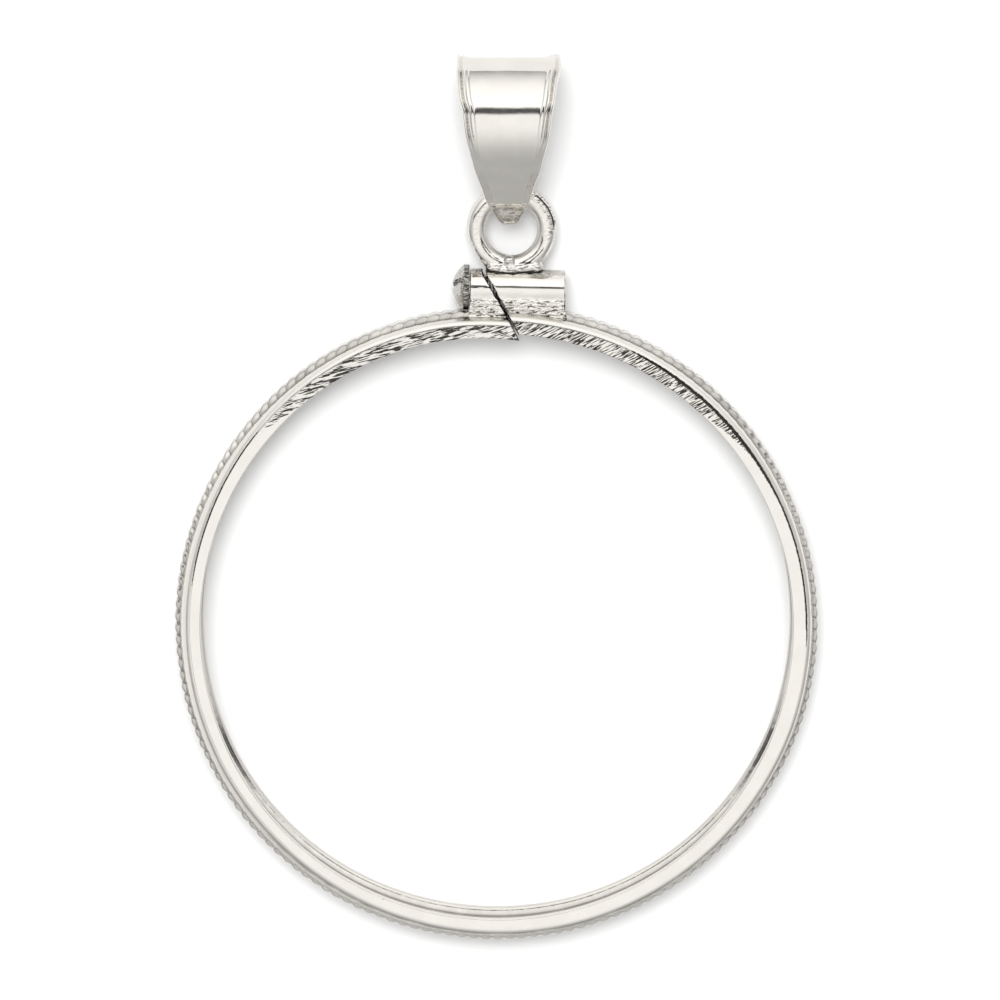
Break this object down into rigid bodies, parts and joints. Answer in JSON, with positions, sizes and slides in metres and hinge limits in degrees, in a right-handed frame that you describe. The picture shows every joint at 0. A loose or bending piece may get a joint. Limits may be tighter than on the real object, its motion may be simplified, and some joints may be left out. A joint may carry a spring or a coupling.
{
  "type": "coin bezel pendant",
  "caption": "Screw-top coin bezel pendant: reeded channel ring with a slanting saw cut, closing screw, jump ring and tapered bail.",
  "frame": {"origin": "centre of the coin ring in the plane of its back face, on which the pendant lies", "axes": "+Z along the ring's axis out of its front face, +Y from the ring towards the bail, +X to the right seen from the front"},
  "size_m": [0.0324, 0.045, 0.006],
  "materials": {
    "bezel_silver": "polished sterling silver, file marks by the cut",
    "screw_silver": "polished sterling silver, worn by the driver",
    "bail_silver": "bright polished sterling silver"
  },
  "bodies": {
    "bezel": {"bezel": "bezel_silver"},
    "closing_screw": {"closing_screw": "screw_silver"},
    "bail": {"bail": "bail_silver"}
  },
  "joints": [
    {"name": "bail_swing", "type": "hinge", "parent": "bezel", "child": "bail", "pos_m": [0.00061, 0.02178, 0.00147], "axis": [1, 0, 0], "range_deg": [-109, 69]},
    {"name": "screw_out", "type": "slide", "parent": "bezel", "child": "closing_screw", "axis": [-0.9998, 0.0209, 0], "range_m": [0, 0.0045]}
  ]
}
